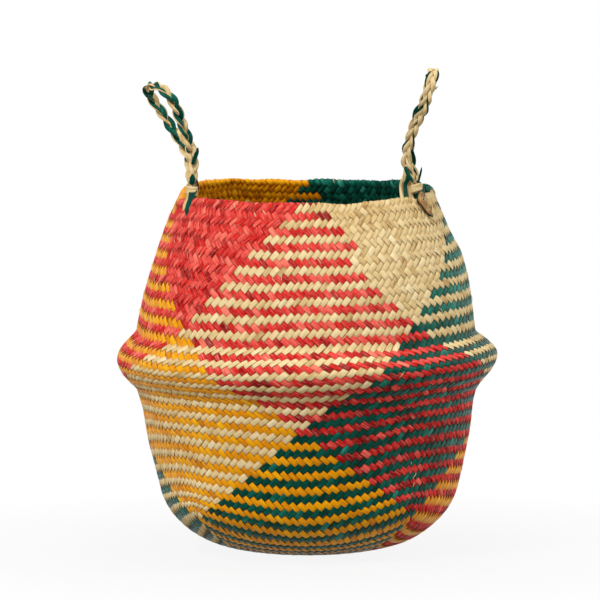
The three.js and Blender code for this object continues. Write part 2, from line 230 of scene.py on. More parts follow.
# How far the weave is turned, in degrees, left and right of the front, at rows up the wall
TURN_ROWS = [0, 24, 30, 36, 46, 54, 60, 72, 84, 90, 96]
TURN_LEFT = [-1.8, -4.2, -4.4, -2.8, -6.4, -2.2, -0.8, -1.0, -3.9, -3.6, -2.0]
TURN_RIGHT = [-2.2, -2.0, -2.6, -2.8, -0.6, -5.0, -4.7, -6.1, -4.8, -3.7, -3.5]
LEFT_TO_RIGHT = (-28, 30)
FRONT_TURNED = (-160, -45, 44, 80)
# More turn high on the left: its size, azimuths left of the front, and rows
MORE_TURN = 9
MORE_TURN_AZ = (32, 74, 90, 150)
MORE_TURN_ROWS = (70, 90)

# How far rows are raised on the wall, at azimuths round the basket, as in the photograph
LIFT_AZ = [-180, -80, -58, -42, -28, -12, 6, 24, 36, 48, 62, 80, 180]
LIFT_ROWS = [0, 12, 28, 39, 56, 72, 84, 96]
ROW_LIFTS = [
    [0, 0, 0, -1.5, -1, 0.5, 0.5, 0.5, 0, 0, 4, 10, 0],
    [0, 0.5, -0.8, -2.2, 0, 2.5, 2.0, 2.0, 4.0, 6.4, 10, 15, 0],
    [0, 1.4, 2.6, 3.2, 3.6, 2.0, 2.6, 6.0, 9.4, 11, 13, 13.5, 0],
    [0, 1.4, 1.5, 0.9, 1.4, 1.2, 2.1, 3.2, 4.3, 6.6, 8.3, 8, 0],
    [0, -1.2, -3.8, -5.8, -4.0, 0, 1.2, 1.4, 1.2, 1.5, 2.4, 2.5, 0],
    [0, 0, -1.4, -2.2, -1.0, -1.2, 1.0, 0.8, 1.5, 1, 4, 4, 0],
    [0, 0.8, 1.5, 1.5, 0.6, -0.8, 0.8, 2.2, 3.5, 3.5, 5, 5, 0],
    [0, 0.8, 1.5, 0.7, -0.2, -0.4, 0.2, 2, 3, 4, 4, 4, 0],
]

# The rim isn't level or round: its height, with a dip under the right handle's wrap, and how far it is
# drawn in
RIM_FIRST_ROW = 66
RIM_AZ = [-180, -155, -124, -105, -92, -80, -66, -52, -28, 0, 28, 54, 58, 64, 68, 90, 105, 120, 150, 180]
RIM_LIFT = [1.5, 4.5, 6, 5, 0, -4, -1, 1.5, 1, 0, 1, 2.4, 0.3, 0.3, 3, 2.5, 6, 5, 3.5, 1.5]
DRAWN_AZ = [-180, -130, -108, -92, -80, -64, 60, 90, 130, 180]
DRAWN_IN = [0, 1, 2.5, 2.5, -0.5, -1, 0, 1, 0, 0]

# How far the wall is pushed out at its left and right, at rows up it, and between which azimuths
PUSH_ROWS = [0, 10, 26, 34, 44, 52, 60, 72, 78, 84, 92, 96]
PUSHED_LEFT = [0, 0, 1.2, -0.5, 1.2, -0.5, -1.8, -1.3, -1.8, -1.4, 0, 0]
PUSHED_RIGHT = [1, 2.6, 2.1, -0.5, 0, -0.8, 0.4, 2.2, 2.0, -1.6, -2, 0]
PUSHED_AZ = (50, 85, 100, 140)

# Small waves: size, how many go round the basket, their turn with each row, and where they start
TURN_WAVES = [(0.3, 5, 0.09, 1), (0.2, 9, -0.13, 0)]
LIFT_WAVES = [(0.5, 7, 0.11, 0), (0.35, 13, -0.07, 0.6)]
SWELL_WAVES = [(0.45, 4, 0.15, 0.5), (0.3, 11, 0.21, 0)]
RIM_WAVES = [(0.6, 8, 0, 2), (0.4, 17, 0, 0)]
# Rows over which waves in height and in swell grow from nothing
LIFT_WAVE_ROWS = 30
SWELL_WAVE_ROWS = 12


def waves(az, row, terms):
    a = np.radians(az)
    return sum(size * np.sin(count * a + turn * row + start) for size, count, turn, start in terms)


def mat_edge(theta):
    """Distance from the centre to the mat's edge, from its sides' middles out to its corners."""
    off = np.radians((theta + 45) % 90 - 45)
    share = (1 / np.cos(off) - 1) / (math.sqrt(2) - 1)
    return EDGE_MIDDLE + (EDGE_CORNER - EDGE_MIDDLE) * share


def weave_turn(theta, row):
    left = np.interp(row, TURN_ROWS, TURN_LEFT)
    right = np.interp(row, TURN_ROWS, TURN_RIGHT)
    t = wrapped(theta)
    front = left + (right - left) * smoothstep(t, *LEFT_TO_RIGHT)
    more = MORE_TURN * window(-t, *MORE_TURN_AZ) * smoothstep(row, *MORE_TURN_ROWS)
    return front * window(t, *FRONT_TURNED) + more + waves(t, row, TURN_WAVES)


def row_lift(az, row):
    lifts = np.stack([np.interp(wrapped(az), LIFT_AZ, lift) for lift in ROW_LIFTS])
    level = np.interp(row, LIFT_ROWS, np.arange(len(LIFT_ROWS)))
    low = np.minimum(level.astype(int), len(LIFT_ROWS) - 2)
    below, above = (np.take_along_axis(lifts, i[None], 0)[0] for i in (low, low + 1))
    return (below + (above - below) * (level - low)) * (1 - smoothstep(row, TOP_ROW, END_ROW))


def corner_lift(theta, row):
    """How far a row follows the mat's corners: sharply next to it, and ever more softly above."""
    sharp = np.clip(1 - row / SHARP_ROWS, 0, 1) ** 2
    corners = (1 - np.cos(np.radians(4 * theta))) / 2
    soft = (EDGE_CORNER - EDGE_MIDDLE) * np.exp(-row / SOFT_ROWS) * corners
    return sharp * (mat_edge(theta) - EDGE_MIDDLE) + (1 - sharp) * soft


def lattice(side, q, row):
    """Place and outward direction at q half steps along a side of the mat and a row above its edge."""
    q, row = np.broadcast_arrays(np.asarray(q, float), np.asarray(row, float))
    local = np.mod(SIDE * side + q + HALF_SIDE, SIDE) - HALF_SIDE
    spread = np.clip(1 - row / SPREAD_ROWS, 0, 1) ** 2
    theta_wall = (SIDE * side + q) * STEP_DEG
    theta_wall = theta_wall + spread * (np.degrees(np.arctan(local / HALF_SIDE)) - local * STEP_DEG)
    station_wall = np.interp(row, ROWS, ROW_STATIONS) + corner_lift(theta_wall, np.maximum(row, 0))
    # Inside the mat's edge, rows are squares that shrink to its middle.
    depth = HALF_SIDE + np.minimum(row, 0)
    theta_mat = 90 * side + np.degrees(np.arctan2(q, np.maximum(depth, 1e-6)))
    station_mat = mat_edge(theta_mat) * np.maximum(np.abs(q), depth) / HALF_SIDE
    theta = np.where(row < 0, theta_mat, theta_wall)
    station = np.where(row < 0, station_mat, station_wall)
    az = theta + weave_turn(theta, np.maximum(row, 0))
    wave = np.clip(row / LIFT_WAVE_ROWS, 0, 1) * waves(theta, row, LIFT_WAVES)
    return shaped(az, row, station + row_lift(az, row) + wave)


def shaped(az, row, station):
    """Place and outward direction on the wall as it really stands, neither round nor level."""
    place, out = on_wall(az, station)
    around = wrapped(az)
    swell = np.clip(row / SWELL_WAVE_ROWS, 0, 1) * waves(az, row, SWELL_WAVES)
    pushed = window(-around, *PUSHED_AZ) * np.interp(row, PUSH_ROWS, PUSHED_LEFT)
    pushed = pushed + window(around, *PUSHED_AZ) * np.interp(row, PUSH_ROWS, PUSHED_RIGHT)
    place = place + out * (swell + pushed)[..., None]
    rim = np.clip((row - RIM_FIRST_ROW) / (TOP_ROW - RIM_FIRST_ROW), 0, 1) ** 2
    place[..., 2] += rim * (np.interp(around, RIM_AZ, RIM_LIFT) + waves(az, row, RIM_WAVES))
    drawn = rim * np.interp(around, DRAWN_AZ, DRAWN_IN) / RIM_RADIUS
    place[..., :2] *= (1 - drawn)[..., None]
    return place, out


def smooth_noise(t, rate, gen, terms=6):
    """A slowly varying value of about -1 to 1 along t."""
    total = np.zeros_like(t)
    for _ in range(terms):
        angle = t * rate * gen.uniform(0.4, 2.2) + gen.uniform(0, 2 * math.pi)
        total = total + np.sin(angle) * gen.uniform(0.3, 1)
    return total / math.sqrt(terms)


def drift(t, gen, size, rate):
    return size * smooth_noise(t, rate, gen)


# In the twill, each strip passes over two others and then under two.
OVER = 2


def up_strip_on_top(row):
    """1 where the strips that rise to the right lie outside, -1 where they pass inside."""
    return np.where(np.mod(row, 2 * OVER) >= OVER, 1.0, -1.0)


# Cross-section of a strip, round it: shares of its half width and of its half thickness
ACROSS = np.array([-1.0, -0.86, 0.0, 0.86, 1.0, 0.86, 0.0, -0.86])
HEIGHT = np.array([0.1, 0.85, 1.1, 0.85, 0.1, -0.75, -0.9, -0.75])
# Half width in half steps, half thickness, and how far a strip stands off the middle of the layers
HALF_WIDTH = 0.52
HALF_THICKNESS = 0.28
LIFT = 0.7
# Half steps between points on the wall and on mat and hem, and how far past the last row a strip is cut
WALL_SPACING = 1 / 3
MAT_SPACING = 0.5
CUT = (-0.6, 0.9)
# Where in a half step a strip dives under, and how much it bows where it doesn't
DIVE = (0.12, 0.88)
BOW = 0.12
# Every second strip is the upper one of a pair and covers its neighbour's edges: how much at rows up the
# wall, and what that adds to width, lift and tone
PAIR_ROWS = [0, 50, 64]
PAIRING = [0.5, 0.6, 1.0]
PAIR_STRENGTH = 0.8
PAIR_WIDTH = 0.11
PAIR_LIFT = 0.16
PAIR_TONE = 0.1
# A strip's ends narrow to a share of its width.
END_LENGTH = 0.8
END_WIDTH = 0.25
# Each strip's own tilt, and the spread of tone between its floats
OWN_TILT = 0.3
FLOAT_TONE = 0.22
# Slow changes along a strip: size and rate
PAIR_DRIFT = (0.35, 0.08)
ASIDE_DRIFT = (0.07, 0.35)
WIDTH_DRIFT = (0.09, 0.6)
TILT_DRIFT = (0.25, 0.5)
THICKNESS_DRIFT = (0.12, 0.3)
TONE_DRIFT = (0.12, 0.07)
# How far the base's strips are raised, so that they lie on the floor, and up to what height
FLOOR_RISE = 0.95
FLOOR_RISE_TOP = 12
# Each colour's tone up the wall: green lighter high up, a painted highlight of the lamp on the right; red
# darker low down, painted shade below the belly;
# yellow lighter higher up and natural darker towards the rim. For each: at its foot, its change, and where
# that begins, is full, ends and is gone
TONES_AND_PAINTED_LIGHT = {
    "green": (0, 0.45, 56, 68, 96, 98),
    "yellow": (0, 0.15, 56, 68, 96, 98),
    "red": (-0.24, 0.3, 34, 62, 200, 202),
    "natural": (0, -0.35, 84, 93, 96, 98),
}


def strip_places(across_mat, gen):
    """Places along a strip, in half steps from where it comes onto the mat, and their rows."""
    wall = np.arange(0, TOP_ROW, WALL_SPACING)
    hems = [np.arange(TOP_ROW, END_ROW + gen.uniform(*CUT), MAT_SPACING) for _ in range(2)]
    mat = np.arange(0, across_mat, MAT_SPACING)
    t = np.concatenate([-hems[0][::-1], -wall[::-1], mat[1:], across_mat + wall, across_mat + hems[1]])
    return t, np.where(t < across_mat / 2, -t, t - across_mat)


def weave_lift(t, across_mat):
    """Near 1 where a strip lies outside those it crosses, and near -1 where it lies inside them."""

    def outside(n):
        return np.where(n < across_mat / 2, up_strip_on_top(-n), -up_strip_on_top(n - across_mat))

    step = np.floor(t).astype(int)
    before, after = outside(step), outside(step + 1)
    share = t - step
    ease = smoothstep(share, *DIVE)
    bow = np.where(before == after, BOW * before * np.sin(math.pi * share), 0)
    return before * (1 - ease) + after * ease + bow


def strip_points(side, q0, gen):
    """One whole strip: from its hem down one side of the basket, across the mat and up the next side."""
    across_mat = q0 + HALF_SIDE
    t, row = strip_places(across_mat, gen)
    pair = 1.0 if ((q0 + HALF_SIDE - 1) // 2) % 2 else -1.0
    rank = pair * np.interp(row, PAIR_ROWS, PAIRING) * (PAIR_STRENGTH + drift(t, gen, *PAIR_DRIFT))
    lift = weave_lift(t, across_mat)
    aside = drift(t, gen, *ASIDE_DRIFT)
    width = HALF_WIDTH * (1 + PAIR_WIDTH * rank + drift(t, gen, *WIDTH_DRIFT))
    tilt = OWN_TILT * gen.uniform(-1, 1) + drift(t, gen, *TILT_DRIFT)
    thick = HALF_THICKNESS * (1 + drift(t, gen, *THICKNESS_DRIFT))
    ends = np.clip(np.minimum(t - t[0], t[-1] - t) / END_LENGTH, END_WIDTH, 1)
    alpha = aside[:, None] + (width * ends)[:, None] * ACROSS
    down = t[:, None] + 0 * alpha
    up = down - across_mat
    pa, na = lattice(side, q0 - down + alpha, -down - alpha)
    # On the far side the strip rises with its edges swapped.
    pb, nb = lattice(side - 1, -q0 - up - alpha, up - alpha)
    first = (down <= across_mat / 2)[..., None]
    p, n = np.where(first, pa, pb), np.where(first, na, nb)
    off_middle = (LIFT * (1 + PAIR_LIFT * rank) * lift)[:, None]
    h = off_middle + thick[:, None] * (HEIGHT + tilt[:, None] * ACROSS)
    pts = p + n * h[..., None]
    pts[..., 2] += FLOOR_RISE * (1 - smoothstep(pts[..., 2], 0, FLOOR_RISE_TOP))
    # Each float over two neighbours has a tone of its own.
    floats = np.round((t + 0.5) / 2).astype(int)
    own = gen.normal(0, FLOAT_TONE, floats.max() - floats.min() + 1)[floats - floats.min()]
    tone = 0.5 + own + PAIR_TONE * rank + drift(t, gen, *TONE_DRIFT)
    at_foot, change, *rows = TONES_AND_PAINTED_LIGHT[COLOUR_OF_SIDE[side]]
    # Painted light and shade up the wall: green lighter high up, red darker low down
    tone = tone + (at_foot + change * window(row, *rows))
    return pts, t, run_lengths(pts.mean(1)), lift, np.clip(tone, 0, 1)


class Ribbons:
    """Collects closed strips and makes one mesh of them."""

    KEYS = ("along", "across", "seed", "lift", "tone")
    # The map: the most runs of a strip, room beside and beyond runs, margin, and size of the ends
    MOST_RUNS = 12
    ROOM_BESIDE = 1.12
    ROOM_BEYOND = 1.02
    MARGIN = 0.005
    END_SIZE = 0.002

    def __init__(self):
        self.points, self.faces, self.sheets = [], [], []
        self.values = {key: [] for key in self.KEYS}
        self.count = 0

    def add(self, pts, length, lift, tone, seed):
        k, c = pts.shape[:2]
        index = self.count + np.arange(k * c).reshape(k, c)
        beside = np.roll(index, -1, axis=1)
        quads = np.stack([index[:-1], index[1:], beside[1:], beside[:-1]], -1).reshape(-1, 4)
        caps = []
        for row, flip in ((index[0], False), (index[-1], True)):
            for i in range(1, c - 2, 2):
                quad = [row[0], row[i], row[i + 1], row[i + 2]]
                caps.append(quad[::-1] if flip else quad)
        faces = np.concatenate([quads, np.array(caps)])
        wide = pts[:-1, 0] - pts[:-1, c // 2]
        high = pts[:-1, c // 4] - pts[:-1, 3 * c // 4]
        turned = np.sum(wide * np.cross(pts[1:, 0] - pts[:-1, 0], high)) > 0
        if turned:
            faces = faces[:, ::-1]
        self.points.append(pts.reshape(-1, 3))
        self.faces.append(faces)
        across, seeds = np.tile(ACROSS, k), np.full(k * c, seed)
        per_point = (np.repeat(length, c), across, seeds, np.repeat(lift, c), np.repeat(tone, c))
        for key, value in zip(self.KEYS, per_point):
            self.values[key].append(value)
        closed = np.concatenate([pts, pts[:, :1]], 1)
        girth = np.concatenate([[0], np.cumsum(np.linalg.norm(np.diff(closed, axis=1), axis=2).mean(0))])
        self.sheets.append((length - length[0], girth, c, turned))
        self.count += k * c

    def mesh(self, name, material):
        faces = np.concatenate(self.faces)
        me = bpy.data.meshes.new(name)
        me.vertices.add(self.count)
        me.vertices.foreach_set("co", (np.concatenate(self.points) * 0.001).astype(np.float32).ravel())
        me.loops.add(len(faces) * 4)
        me.loops.foreach_set("vertex_index", faces.astype(np.int32).ravel())
        me.polygons.add(len(faces))
        me.polygons.foreach_set("loop_start", np.arange(0, len(faces) * 4, 4, dtype=np.int32))
        me.polygons.foreach_set("loop_total", np.full(len(faces), 4, np.int32))
        me.update(calc_edges=True)
        me.validate()
        for key in self.KEYS:
            attribute = me.attributes.new(key, "FLOAT", "POINT")
            attribute.data.foreach_set("value", np.concatenate(self.values[key]).astype(np.float32))
        layer = me.uv_layers.new(name="OFBake")
        layer.uv.foreach_set("vector", self.layout().astype(np.float32).ravel())
        me.polygons.foreach_set("use_smooth", np.ones(len(me.polygons), bool))
        me.materials.append(material)
        ob = bpy.data.objects.new(name, me)
        bpy.context.scene.collection.objects.link(ob)
        return ob

    def layout(self):
        """A map of the strips side by side, cut into runs so that the sheet is about square."""
        area = sum(length[-1] * girth[-1] for length, girth, *_ in self.sheets)
        longest = max(length[-1] for length, *_ in self.sheets)
        run = max(math.sqrt(area), longest / self.MOST_RUNS)
        lanes = []
        for length, girth, *_ in self.sheets:
            runs = max(1, math.ceil(length[-1] / run))
            middle = (length[:-1] + length[1:]) / 2
            lanes.append(np.minimum((middle / (length[-1] / runs)).astype(int), runs - 1))
        widths = [girth[-1] * self.ROOM_BESIDE for _, girth, *_ in self.sheets]
        height = sum((lane.max() + 1) * wide for lane, wide in zip(lanes, widths))
        out, y = [], 0.0
        for lane, wide, (length, girth, c, turned) in zip(lanes, widths, self.sheets):
            start = lane * length[-1] / (lane.max() + 1)
            u0 = ((length[:-1] - start)[:, None] + np.zeros(c)) / (run * self.ROOM_BEYOND) + self.MARGIN
            u1 = ((length[1:] - start)[:, None] + np.zeros(c)) / (run * self.ROOM_BEYOND) + self.MARGIN
            v0 = (y + lane[:, None] * wide + girth[:-1]) / height
            v1 = (y + lane[:, None] * wide + girth[1:]) / height
            corners = [np.stack(pair, -1) for pair in ((u0, v0), (u1, v0), (u1, v1), (u0, v1))]
            quad = np.stack(corners, 2).reshape(-1, 4, 2)
            small = self.END_SIZE * np.array([[0, 0], [1, 0], [1, 1], [0, 1]])
            small = small + [self.END_SIZE / 2, y / height]
            both = np.concatenate([quad, np.repeat(small[None], 2 * len(range(1, c - 2, 2)), 0)])
            out.append(both[:, ::-1] if turned else both)
            y += (lane.max() + 1) * wide
        return np.concatenate(out).reshape(-1, 2)


def srgb(*rgb):
    """Linear light of a colour that is given in steps of 0 to 255."""
    shares = [c / 255 for c in rgb]
    linear = [c / 12.92 if c <= 0.04045 else ((c + 0.055) / 1.055) ** 2.4 for c in shares]
    return (*linear, 1.0)


class Nodes:
    """Short forms for the nodes of a material or world."""

    def __init__(self, owner, shader="Principled BSDF"):
        owner.use_nodes = True
        self.nodes, self.links = owner.node_tree.nodes, owner.node_tree.links
        self.shader = self.nodes[shader]

    def set(self, node, **values):
        for key, value in values.items():
            node.inputs[key].default_value = value

    def put(self, socket, value):
        if isinstance(value, (int, float, tuple)):
            socket.default_value = value
        else:
            self.links.new(value, socket)

    def attribute(self, key):
        node = self.nodes.new("ShaderNodeAttribute")
        node.attribute_name = key
        return node.outputs["Fac"]

    def maths(self, operation, a, b=0.0, clamp=False):
        node = self.nodes.new("ShaderNodeMath")
        node.operation = operation
        node.use_clamp = clamp
        self.put(node.inputs[0], a)
        self.put(node.inputs[1], b)
        return node.outputs[0]

    def above(self, value, level, gain):
        """How far a value is above a level, times a gain, held between 0 and 1."""
        return self.maths("MULTIPLY", self.maths("SUBTRACT", value, level), gain, clamp=True)

    def below(self, value, level, gain):
        return self.maths("MULTIPLY", self.maths("SUBTRACT", level, value), gain, clamp=True)

    def noise(self, x, y, z, detail, roughness):
        place = self.nodes.new("ShaderNodeCombineXYZ")
        for socket, value in zip(place.inputs, (x, y, z)):
            self.put(socket, value)
        node = self.nodes.new("ShaderNodeTexNoise")
        self.set(node, Scale=1.0, Detail=detail, Roughness=roughness)
        self.links.new(place.outputs[0], node.inputs["Vector"])
        return node.outputs["Fac"]

    def ramp(self, value, stops):
        node = self.nodes.new("ShaderNodeValToRGB")
        elements = node.color_ramp.elements
        while len(elements) < len(stops):
            elements.new(0.5)
        for i, (element, colour) in enumerate(zip(elements, stops)):
            element.position = i / (len(stops) - 1)
            element.color = colour
        self.links.new(value, node.inputs["Fac"])
        return node.outputs["Color"]

    def mix(self, factor, a, b):
        node = self.nodes.new("ShaderNodeMix")
        node.data_type = "RGBA"
        # Its sockets for two colours are numbers 6 and 7, and the mixed colour is output 2.
        self.put(node.inputs[0], factor)
        self.put(node.inputs[6], a)
        self.put(node.inputs[7], b)
        return node.outputs[2]

    def seen_directly(self):
        """1 for the rays by which the background itself is seen."""
        path = self.nodes.new("ShaderNodeLightPath")
        total = path.outputs["Is Camera Ray"]
        for key in ("Is Glossy Ray", "Is Transmission Ray"):
            total = self.maths("ADD", total, path.outputs[key], clamp=True)
        return total

    def mix_shaders(self, share, first, second, output):
        node = self.nodes.new("ShaderNodeMixShader")
        for socket, value in zip(node.inputs, (share, first.outputs[0], second.outputs[0])):
            self.links.new(value, socket)
        self.links.new(node.outputs[0], self.nodes[output].inputs["Surface"])


# Patterns in a strip: scales along it, across it and from strip to strip, detail and roughness
MOTTLE = (0.11, 0.9, 57.0, 3.0, 0.6)
FINE_FIBRES = (0.16, 8.5, 133.0, 3.0, 0.6)
BROAD_FIBRES = (0.09, 3.0, 71.0, 2.0, 0.5)
# Levels above which fibres are pale, partly the sedge's own pale fibres and partly painted shine, and below
# which they are dark, and how quickly they darken
FINE_LEVELS = (0.54, 0.45, 2.2)
BROAD_LEVELS = (0.57, 0.42, 2.4)
# Tone: how much is the strip's own, its middle, and how much is mottling
STRIP_TONE = 0.3
MIDDLE_TONE = 0.65
MOTTLING = 0.8
# Painted shade at the strips' edges, for the gaps between strips: how near the edge it stays, the noise
# that breaks it, its levels, and its strength
EDGE_POWER = 8.0
EDGE_NOISE = (1.0, 0.5)
EDGE_LEVELS = (0.42, 6.0)
GAP_SHADE_STRENGTH = 0.8
# Below which lift a strip is darker, partly painted shade and partly dust and dye kept darker where hidden,
# and how quickly
UNDER_SHADE_LEVELS = (0.4, 1.5)
# How much smoother and rougher a strip is in places
SMOOTHER = 0.08
ROUGHER = 0.14
BUMP_STRENGTH = 0.6
BUMP_METRES = 0.0005


def strip_material(name, tones, dark, pale, contrast, streaks, rough, sheen):
    """Split sedge: each float has its own tone and fibres along it, painted shade at its edges, and is
    darker where it dives under, partly painted shade.
    """
    m = bpy.data.materials.new(name)
    n = Nodes(m)
    dark, pale = srgb(*dark), srgb(*pale)
    along, across = n.attribute("along"), n.attribute("across")
    seed, lift = n.attribute("seed"), n.attribute("lift")

    def pattern(*settings):
        scaled = [n.maths("MULTIPLY", *pair) for pair in zip((along, across, seed), settings)]
        return n.noise(*scaled, *settings[3:])

    strip_tone = n.maths("FRACT", n.maths("MULTIPLY", seed, 91.7))
    mottle = n.maths("SUBTRACT", pattern(*MOTTLE), 0.5)
    tone = n.maths("ADD", n.attribute("tone"), n.maths("MULTIPLY", strip_tone, STRIP_TONE))
    tone = n.maths("MULTIPLY", n.maths("SUBTRACT", tone, MIDDLE_TONE), contrast)
    tone = n.maths("ADD", tone, n.maths("MULTIPLY", mottle, MOTTLING))
    colour = n.ramp(n.maths("ADD", tone, 0.5, clamp=True), [srgb(*stop) for stop in tones])
    fine, broad = pattern(*FINE_FIBRES), pattern(*BROAD_FIBRES)
    for fibres, (pale_level, dark_level, dark_gain) in ((fine, FINE_LEVELS), (broad, BROAD_LEVELS)):
        # Pale streaks: partly the sedge's own pale fibres, partly painted shine
        colour = n.mix(n.above(fibres, pale_level, streaks), colour, pale)
        colour = n.mix(n.below(fibres, dark_level, dark_gain), colour, dark)
    # Painted shade: the strip is darker at its edges, for the gaps between strips, and where it passes
    # under its neighbours, there partly also dust and dye kept darker where hidden.
    edge = n.maths("POWER", n.maths("ABSOLUTE", across), EDGE_POWER)
    broken = n.above(n.noise(along, across, seed, *EDGE_NOISE), *EDGE_LEVELS)
    gap_shade = n.maths("MULTIPLY", edge, broken)
    # Painted shade in the gaps between strips
    colour = n.mix(n.maths("MULTIPLY", gap_shade, GAP_SHADE_STRENGTH), colour, dark)
    # Partly painted shade, partly dust and dye kept darker, where the strip passes under its neighbours
    colour = n.mix(n.below(n.maths("ABSOLUTE", lift), *UNDER_SHADE_LEVELS), colour, dark)
    n.links.new(colour, n.shader.inputs["Base Color"])
    roughness = n.ramp(broad, [(value, value, value, 1) for value in (rough - SMOOTHER, rough + ROUGHER)])
    n.links.new(roughness, n.shader.inputs["Roughness"])
    n.shader.inputs["Specular IOR Level"].default_value = sheen
    n.shader.inputs["Specular Tint"].default_value = pale
    bump = n.nodes.new("ShaderNodeBump")
    n.set(bump, Strength=BUMP_STRENGTH, Distance=BUMP_METRES)
    n.links.new(n.maths("ADD", fine, broad), bump.inputs["Height"])
    n.links.new(bump.outputs["Normal"], n.shader.inputs["Normal"])
    return m


# Each dye: five tones from dark to light, darkest and palest, contrast, streaks, roughness and sheen
DYES = {
    "natural": (
        [(152, 106, 58), (208, 176, 116), (224, 197, 142), (233, 210, 158), (240, 224, 182)],
        (140, 98, 48), (248, 236, 206), 0.55, 1.9, 0.55, 0.06),
    "red": (
        [(134, 6, 12), (190, 16, 20), (214, 38, 34), (230, 80, 70), (244, 122, 100)],
        (98, 4, 2), (254, 184, 164), 0.9, 2.6, 0.5, 0.05),
    "yellow": (
        [(160, 84, 2), (208, 122, 2), (228, 146, 4), (240, 164, 6), (248, 188, 22)],
        (134, 66, 1), (252, 200, 60), 0.6, 2.1, 0.45, 0.5),
    # Green's two lightest, teal tones show mostly where the tone is raised high on the wall as painted
    # highlight
    "green": (
        [(0, 30, 24), (1, 46, 36), (3, 62, 48), (14, 92, 76), (52, 140, 120)],
        (0, 18, 15), (44, 132, 112), 0.6, 1.9, 0.4, 0.4),
}
materials = {colour: strip_material(f"{colour}_strip", *dye) for colour, dye in DYES.items()}

# Strips that are pieced with one of another dye, where each passes inside. By side and place on the mat's
# edge: first row, last row and the other dye
TO_THE_END = 200
SPLICES = {
    (3, 27): (82.5, TO_THE_END, "red"),
    (3, 29): (82.5, TO_THE_END, "red"),
    (3, 31): (82.5, TO_THE_END, "red"),
    (2, 31): (-1.5, 30.5, "yellow"),
}
WALL_NODES = ["base_mat", "wall_turn", "lower_wall", "belly_fold"]
WALL_NODES += ["upper_wall", "rim_band", "inner_hem", "rim_edge"]


def colour_runs(side, q0, t):
    """The stretches of a strip's points between its splices, each with its colour."""
    colour = COLOUR_OF_SIDE[side]
    if (side, q0) not in SPLICES:
        return [(0, len(t), colour)]
    first_row, last_row, other = SPLICES[side, q0]
    across_mat = q0 + HALF_SIDE
    start, stop = np.searchsorted(t, [across_mat + first_row, across_mat + last_row])
    runs = [(0, start + 1, colour), (start, min(stop + 1, len(t)), other), (stop, len(t), colour)]
    return [run for run in runs if run[1] - run[0] > 1]


woven = {(colour, half): Ribbons() for colour in COLOUR_OF_SIDE for half in (1, 2)}
for side in range(len(COLOUR_OF_SIDE)):
    for q0 in range(1 - HALF_SIDE, HALF_SIDE, 2):
        gen = np.random.default_rng(1000 * side + q0 + 500)
        pts, t, length, lift, tone = strip_points(side, q0, gen)
        for start, stop, colour in colour_runs(side, q0, t):
            part = slice(start, stop)
            ribbons = woven[colour, 1 if q0 < 0 else 2]
            ribbons.add(pts[part], length[part], lift[part], tone[part], gen.uniform(0, 1))

# Loose pale fibres outside: how many, their half widths, how far they stand off the middle of the
# layers and bow out more, their length and tone
FIBRES = 150
FIBRE_GIRTH = np.array([0.12, 0.24, 0.28, 0.28, 0.26, 0.2, 0.08])[:, None, None]
FIBRE_RISE = 1.1
FIBRE_BOW = (0.2, 1.0)
FIBRE_SPAN = (3, 8)
FIBRE_TONE = 0.95
# Two of three are below the crest, rather near it, and the others anywhere between two stations.
LEAST_BELOW = 2
MORE_BELOW = 150
NEAR_CREST = 1.7
ANYWHERE = (150, 400)


def loose_fibre(near_rim, gen):
    """Its closed strip and the lengths along it."""
    az = gen.uniform(0, 360)
    if near_rim:
        station = CREST - LEAST_BELOW - MORE_BELOW * gen.uniform(0, 1) ** NEAR_CREST
    else:
        station = gen.uniform(*ANYWHERE)
    s = steps(len(FIBRE_GIRTH) - 1)
    lean = gen.uniform(-1, 1)
    span = gen.uniform(*FIBRE_SPAN)
    stations = station + span * 0.8 * s * np.sign(gen.uniform(-1, 1))
    azimuths = az + 1.5 * lean * s * span / 4
    place, out = shaped(azimuths, np.interp(stations, ROW_STATIONS, ROWS), stations)
    bow = gen.uniform(*FIBRE_BOW) * np.sin(math.pi * (0.15 + 0.7 * s))
    path = place + out * (FIBRE_RISE + bow)[:, None]
    wide = np.cross(unit(np.gradient(path, axis=0)), out)
    section = wide[:, None] * ACROSS[:, None] + 0.5 * out[:, None] * HEIGHT[:, None]
    return path[:, None] + FIBRE_GIRTH * section, run_lengths(path)


def add_on_top(ribbons, pts, length, tone, gen):
    """Adds a strip that lies on top all along."""
    ribbons.add(pts, length, np.ones(len(pts)), np.broadcast_to(tone, len(pts)), gen.uniform(0, 1))


gen = np.random.default_rng(77)
for i in range(FIBRES):
    add_on_top(woven["natural", 1 + i % 2], *loose_fibre(i % 3 > 0, gen), FIBRE_TONE, gen)

for (colour, half), ribbons in woven.items():
    piece = ribbons.mesh(f"{colour}_strips_{half}", materials[colour])
    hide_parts(*WALL_NODES)
    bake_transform(piece)


def catmull(points, t):
    """The same spline as the part's handles follow."""
    p = np.asarray(points, float)
    x = np.clip(t, 0, 1) * (len(p) - 1)
    i = np.minimum(x.astype(int), len(p) - 2)
    w = (x - i)[:, None]
    p0, p1 = p[np.maximum(i - 1, 0)], p[i]
    p2, p3 = p[i + 1], p[np.minimum(i + 2, len(p) - 1)]
    v0, v1 = (p2 - p0) / 2, (p3 - p1) / 2
    return (2 * p1 - 2 * p2 + v0 + v1) * w**3 + (-3 * p1 + 3 * p2 - 2 * v0 - v1) * w**2 + v0 * w + p1


# Handles: a plait of three strands, bent to a loop on a stem of its own two legs
LEG_OFFSET = 3.875
LEG_SPREAD = 1
WRAP_TOP = 6.5
STEM = 30.0
LOOP_HALF_WIDTH = 17
LOOP_SHAPE = [(0.52, 0.28), (0.86, 0.58), (1, 0.8), (0.72, 0.95)]
# Legs and strands are drawn together in the wrap: to what share, and where up the stem they come free
LEGS_DRAWN = (0.62, 2, 18)
STRANDS_DRAWN = (0.6, 3, 12)
LINE_POINTS = 900
SPINE_POINTS = 400
joints = {joint["name"]: joint for joint in frame["joints"]}


